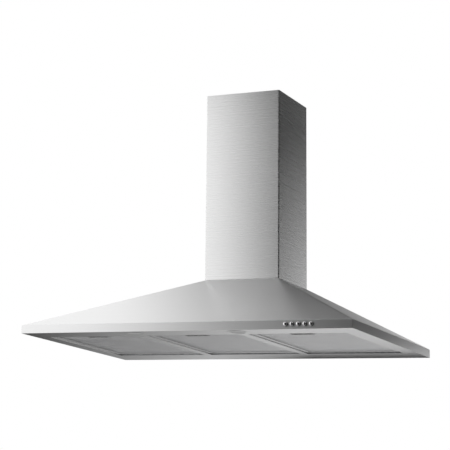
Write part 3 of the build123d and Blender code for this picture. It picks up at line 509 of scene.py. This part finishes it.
def expanded_layer(made, x0, x1, y0, y1, notch, z, phase):
    """One layer of expanded metal in the rectangle, without the notch at its front."""
    layer = bmesh.new()
    places = {}

    def corner(i, j):
        if (i, j) not in places:
            places[i, j] = layer.verts.new((x0 + (i + phase) * CELL_WIDE / 2,
                                            y0 + (j - 1) * CELL_TALL / 2, 0))
        return places[i, j]

    for i in range(-2, int((x1 - x0) / CELL_WIDE * 2) + 3):
        for j in range(-1, int((y1 - y0) / CELL_TALL * 2) + 3):
            if (i + j) % 2 == 0:
                layer.faces.new([corner(i - 1, j), corner(i, j - 1),
                                 corner(i + 1, j), corner(i, j + 1)])
    cells = list(layer.faces)
    layer.normal_update()
    bmesh.ops.inset_individual(layer, faces=cells, thickness=STRAND / 2, use_even_offset=True)
    for face in cells:
        middle = face.calc_center_median()
        for v in face.verts:
            v.co.z += STRAND_TILT * (v.co.y - middle.y) / (CELL_TALL / 2)
    bmesh.ops.delete(layer, geom=cells, context="FACES_ONLY")
    for place, normal in (((x0, 0, 0), (-1, 0, 0)), ((x1, 0, 0), (1, 0, 0)),
                          ((0, y0, 0), (0, -1, 0)), ((0, y1, 0), (0, 1, 0))):
        cut(layer, place, normal, True)
    n0, n1, depth = notch
    for place, normal in (((n0, 0, 0), (1, 0, 0)), ((n1, 0, 0), (1, 0, 0)),
                          ((0, depth, 0), (0, 1, 0))):
        cut(layer, place, normal, False)
    middles = [(face, face.calc_center_median()) for face in layer.faces]
    inside = [face for face, middle in middles if n0 < middle.x < n1 and middle.y < depth]
    bmesh.ops.delete(layer, geom=inside, context="FACES")
    bmesh.ops.dissolve_degenerate(layer, dist=WELD, edges=layer.edges)
    bmesh.ops.translate(layer, verts=layer.verts, vec=(0, 0, z))
    mesh = bpy.data.meshes.new("layer")
    layer.to_mesh(mesh)
    layer.free()
    made.from_mesh(mesh)
    bpy.data.meshes.remove(mesh)


def foil_pad(made, x0, x1, y0, y1, notch, z):
    """A crumpled sheet of foil between the layers, without the notch at its front."""
    columns, rows = round((x1 - x0) / PAD_PITCH), round((y1 - y0) / PAD_PITCH)
    n0, n1, depth = notch
    grid = {}
    for i in range(columns + 1):
        for j in range(rows + 1):
            x, y = x0 + (x1 - x0) * i / columns, y0 + (y1 - y0) * j / rows
            folds = noise.noise((x * PAD_FOLDS, y * PAD_FOLDS, 0))
            crinkles = noise.noise((x * PAD_CRINKLES, y * PAD_CRINKLES, CRINKLE_SEED))
            grid[i, j] = (x, y, z + (folds + CRINKLE_SHARE * crinkles) * PAD_CREASE)
    placed = {}
    for i in range(columns):
        for j in range(rows):
            corners = [(i, j), (i + 1, j), (i + 1, j + 1), (i, j + 1)]
            if any(n0 < grid[c][0] < n1 and grid[c][1] < depth for c in corners):
                continue
            for c in corners:
                if c not in placed:
                    placed[c] = made.verts.new(grid[c])
            made.faces.new([placed[c] for c in corners]).material_index = 1


def make_filter_meshes():
    for side in SIDES:
        low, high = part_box(f"filter_mesh_{side}")
        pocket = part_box(f"filter_latch_{side}")
        middle = (low.x + high.x) / 2
        notch = (middle - NOTCH_HALF, middle + NOTCH_HALF, pocket[0].y + NOTCH_DEPTH)
        sheet = (low.x, high.x, low.y, high.y, notch)
        made = bmesh.new()
        expanded_layer(made, *sheet, low.z + LAYER_INSET, 0)
        expanded_layer(made, *sheet, high.z - LAYER_INSET, 1)
        foil_pad(made, *sheet, low.z + PAD_HEIGHT)
        mesh = bpy.data.meshes.new(f"expanded_mesh_{side}")
        pack = link(f"expanded_mesh_{side}", mesh, MESH_METAL)
        mesh.materials.append(FOIL)
        made.to_mesh(mesh)
        made.free()
        modify(pack, "SOLIDIFY", thickness=MESH_SHEET, offset=0)
        settle(pack, sharp=30)
        stand_in(pack, f"filter_{side}", "aluminium_mesh", f"filter_mesh_{side}")


# ---------------------------------------------------------------- springs
DEAD_TURNS = 0.75
DEAD_PITCH = 2.1  # in wire radii
TURN_STEPS, WIRE_SIDES = 24, 8
LATCH_TURNS, LATCH_WIRE, LATCH_TRAVEL = 6, 0.35, 6.0
BUTTON_TURNS, BUTTON_WIRE, BUTTON_TRAVEL = 5, 0.3, 3.0


def coil(name, node, body, turns, wire):
    """A compression spring with closed ends in the CAD spring's place. wire is the wire's radius,
    in millimetres."""
    low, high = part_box(node)
    wire *= MM
    radius, length = (high.x - low.x) / 2 - wire, high.y - low.y - 2 * wire
    closed = DEAD_TURNS * DEAD_PITCH * wire
    total = turns + 2 * DEAD_TURNS
    steps = round(total * TURN_STEPS)
    lengthwise = Vector((0, 1, 0))
    made = bmesh.new()
    rings = []
    for step in range(steps + 1):
        turn = total * step / steps
        if turn < DEAD_TURNS:
            along = closed * turn / DEAD_TURNS
        elif turn > total - DEAD_TURNS:
            along = length - closed * (total - turn) / DEAD_TURNS
        else:
            along = closed + (length - 2 * closed) * (turn - DEAD_TURNS) / turns
        angle = math.tau * turn
        outward = Vector((math.cos(angle), 0, math.sin(angle)))
        axis = Vector(((low.x + high.x) / 2, low.y + wire + along, (low.z + high.z) / 2))
        middle = axis + outward * radius
        rings.append([made.verts.new(middle + wire * (math.cos(a) * outward
                                                      + math.sin(a) * lengthwise))
                      for a in (math.tau * k / WIRE_SIDES for k in range(WIRE_SIDES))])
    for first, second in zip(rings, rings[1:]):
        for k in range(WIRE_SIDES):
            after = (k + 1) % WIRE_SIDES
            made.faces.new((first[k], first[after], second[after], second[k]))
    made.faces.new(rings[0])
    made.faces.new(rings[-1])
    bmesh.ops.recalc_face_normals(made, faces=made.faces)
    mesh = bpy.data.meshes.new(name)
    made.to_mesh(mesh)
    made.free()
    spring = settle(link(name, mesh, SPRING), sharp=60)
    stand_in(spring, body, "spring_steel", node)
    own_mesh(spring)


def make_springs():
    for side in SIDES:
        coil(f"latch_coil_{side}", f"latch_spring_{side}", f"filter_{side}", LATCH_TURNS,
             LATCH_WIRE)
    for number in BUTTON_NUMBERS:
        coil(f"button_coil_{number}", f"button_spring_{number}", "hood", BUTTON_TURNS,
             BUTTON_WIRE)


# ---------------------------------------------------------------- studio
# The steel mirrors a white world. Dark and grey cards, which the camera doesn't see, give it
# the photograph's shading, and two wide, weak softboxes brighten its left side.
LIGHT_SHADE, LIGHT_STRENGTH = 0.85, 0.7
FLOOR_HALF, FLOOR_Z = 9.0, -2.4
FLOOR_GRAIN = (1.5, 1.5, 1.5)
FLOOR_DARK, FLOOR_BRIGHT, FLOOR_ROUGHNESS = grey(0.80), grey(0.86), 0.8
# Each softbox: name, place, target, size and power.
SOFTBOXES = (
    ("softbox_left", (-1.65, -1.62, 1.15), (-1.65, 0, 1.15), (2.1, 2.1), 5.4),
    ("softbox_back", (-2.2, 1.2, 1.4), (-0.2, -0.4, 0.1), (1.6, 1.6), 2.0),
)
# Each upright card: name, y, x from and to, z from and to, shade, and its clearing ramps.
CARDS = (
    ("card_front_top", -1.55, -1.35, 3.0, 1.3, 2.8, 0.03, ("X", -0.9, -1.3), ("X", 0.35, 1.1)),
    ("card_front_high", -1.55, -0.72, 3.0, 0.3, 1.3, 0.03, ("X", -0.62, -0.70), ("X", 0.35, 1.1)),
    ("card_front_low", -1.55, -1.0, 3.0, -1.6, 0.3, 0.04, ("X", 0.10, -0.95)),
    ("card_back_edge", 1.0, -2.4, -0.6, 0.25, 0.8, 0.25),
    ("card_back_left", 1.01, -1.5, 0.1, 0.1, 2.6, 0.04, ("X", -0.5, -1.35), ("Z", 0.7, 0.25)),
    ("card_back_middle", 1.0, 0.1, 0.65, 0.1, 2.6, 0.48, ("Z", 0.9, 0.1)),
    ("card_back_right", 1.0, 0.65, 3.0, 0.0, 2.6, 0.055, ("Z", 0.18, 0.10)),
    ("card_low", 1.0, -3.2, 0.2, -1.3, 0.1, 0.05, ("X", -1.5, -0.4)),
    ("card_wall", 0.05, -0.2, 0.5, -0.03, -0.002, 0.03, ("X", 0.1, -0.2)),
    ("card_near", 0.3, 0.66, 1.6, 0.0, 0.28, 0.05, ("X", 0.76, 0.67)),
    ("card_front_far", -1.56, 0.3, 3.0, -1.6, 2.8, 0.4, ("X", 0.6, 0.3)),
)
SIDE_CARD = [(3.0, -1.55, -0.5), (3.0, 1.0, -0.5), (3.0, 1.0, 2.4), (3.0, -1.55, 2.4)]
SIDE_CARD_SHADE = 0.06


def make_world():
    """White where it is seen or mirrored, and a little dimmer as a light."""
    world = bpy.data.worlds.new("studio")
    SCENE.world = world
    world.use_nodes = True
    g = Graph(world.node_tree)
    path = g.node("ShaderNodeLightPath").outputs
    seen = g.add(g.add(path["Is Camera Ray"], path["Is Glossy Ray"]), path["Is Transmission Ray"])
    light = g.node("ShaderNodeBackground", Color=grey(LIGHT_SHADE), Strength=LIGHT_STRENGTH)
    backdrop = g.node("ShaderNodeBackground", Color=grey(1.0), Strength=1.0)
    g.node("ShaderNodeOutputWorld", Surface=g.mix(seen, light, backdrop))


def area(name, place, target, size, power):
    data = bpy.data.lights.new(name, "AREA")
    data.shape = "RECTANGLE"
    data.size, data.size_y = size
    data.energy = power
    light = bpy.data.objects.new(name, data)
    SCENE.collection.objects.link(light)
    light.location = place
    facing = Vector(target) - Vector(place)
    light.rotation_euler = facing.to_track_quat("-Z", "Y").to_euler()
    light.visible_camera = False


def card(name, corners, shade, *ramps):
    """A studio card. Each ramp (axis, start, end) clears it along that axis, from start to end."""
    mesh = bpy.data.meshes.new(name)
    mesh.from_pydata(corners, [], [tuple(range(len(corners)))])
    made, g = material(name)
    along = g.node("ShaderNodeSeparateXYZ", _0=g.place((1, 1, 1))).outputs
    clear = 0.0
    for axis, start, end in ramps:
        share = g.spread(along["XYZ".index(axis)], 0, 1, start, end)
        clear = share if clear == 0.0 else g.highest(clear, share)
    solid = g.node("ShaderNodeBsdfDiffuse", Color=grey(shade))
    cleared = g.node("ShaderNodeBsdfTransparent")
    g.node("ShaderNodeOutputMaterial", Surface=g.mix(clear, solid, cleared))
    mesh.materials.append(made)
    obj = bpy.data.objects.new(name, mesh)
    SCENE.collection.objects.link(obj)
    obj.visible_camera = False


def upright_card(name, y, x0, x1, z0, z1, shade, *ramps):
    card(name, [(x0, y, z0), (x1, y, z0), (x1, y, z1), (x0, y, z1)], shade, *ramps)


def make_floor():
    mesh = bpy.data.meshes.new("floor")
    corners = [(-1, -1), (1, -1), (1, 1), (-1, 1)]
    mesh.from_pydata([(FLOOR_HALF * x, FLOOR_HALF * y, FLOOR_Z) for x, y in corners], [],
                     [(0, 1, 2, 3)])
    made, g = material("floor")
    shade = g.blend(g.noise(FLOOR_GRAIN), FLOOR_DARK, FLOOR_BRIGHT)
    g.surface(Base_Color=shade, Roughness=FLOOR_ROUGHNESS)
    mesh.materials.append(made)
    floor = bpy.data.objects.new("floor", mesh)
    SCENE.collection.objects.link(floor)


SCENE.view_settings.view_transform = "Standard"
make_camera()
make_world()
make_floor()
dress_nodes()
make_canopy()
make_chimneys()
make_buttons()
make_lamps()
make_filter_meshes()
make_springs()
for row in SOFTBOXES:
    area(*row)
for row in CARDS:
    upright_card(*row)
card("card_side", SIDE_CARD, SIDE_CARD_SHADE)
